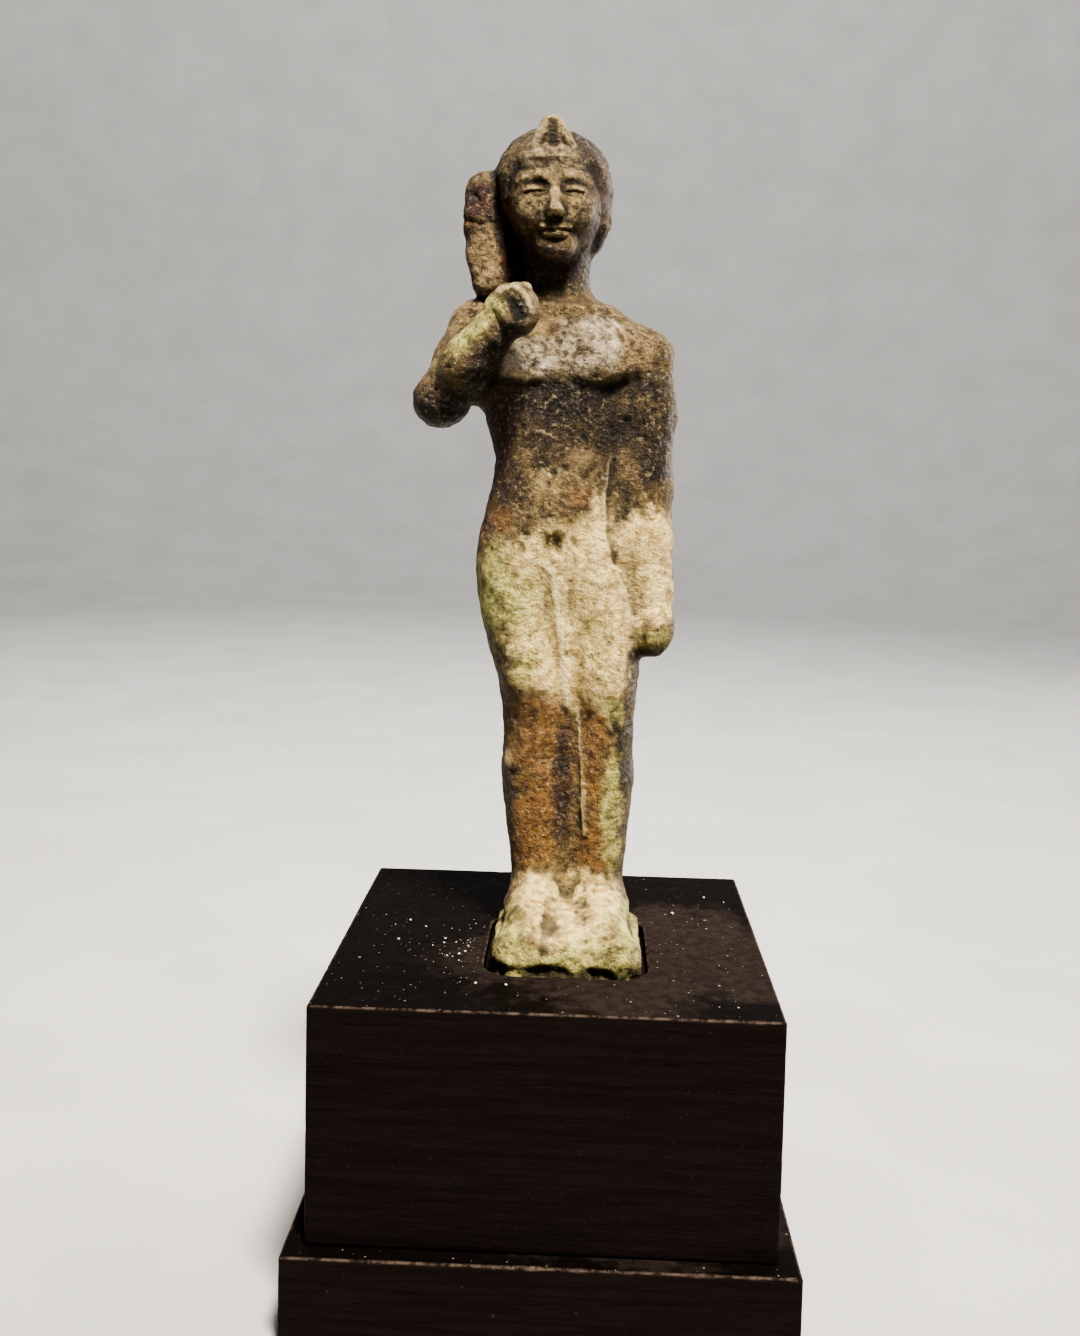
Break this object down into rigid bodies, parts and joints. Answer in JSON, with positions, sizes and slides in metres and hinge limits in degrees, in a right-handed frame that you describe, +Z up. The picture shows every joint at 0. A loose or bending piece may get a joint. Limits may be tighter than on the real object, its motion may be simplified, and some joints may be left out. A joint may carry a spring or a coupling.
{
  "type": "statuette on plinth",
  "caption": "Small cast bronze statuette of a standing youthful god with a side lock and a raised fist, on a square stepped ebonised wood plinth.",
  "frame": {"origin": "centre of the plinth's underside", "axes": "+Z up, the figure faces -Y, +X is to the viewer's right"},
  "size_m": [0.0762, 0.0762, 0.1855],
  "materials": {
    "ebonised_wood": "stained black-brown and waxed, scuffed, with dust on its top",
    "patinated_bronze": "corroded bronze: pale green and cream crust over orange-brown, dark brown at the head"
  },
  "bodies": {
    "root": {"plinth_step": "ebonised_wood", "plinth_block": "ebonised_wood", "bronze_figure": "patinated_bronze"}
  },
  "joints": []
}
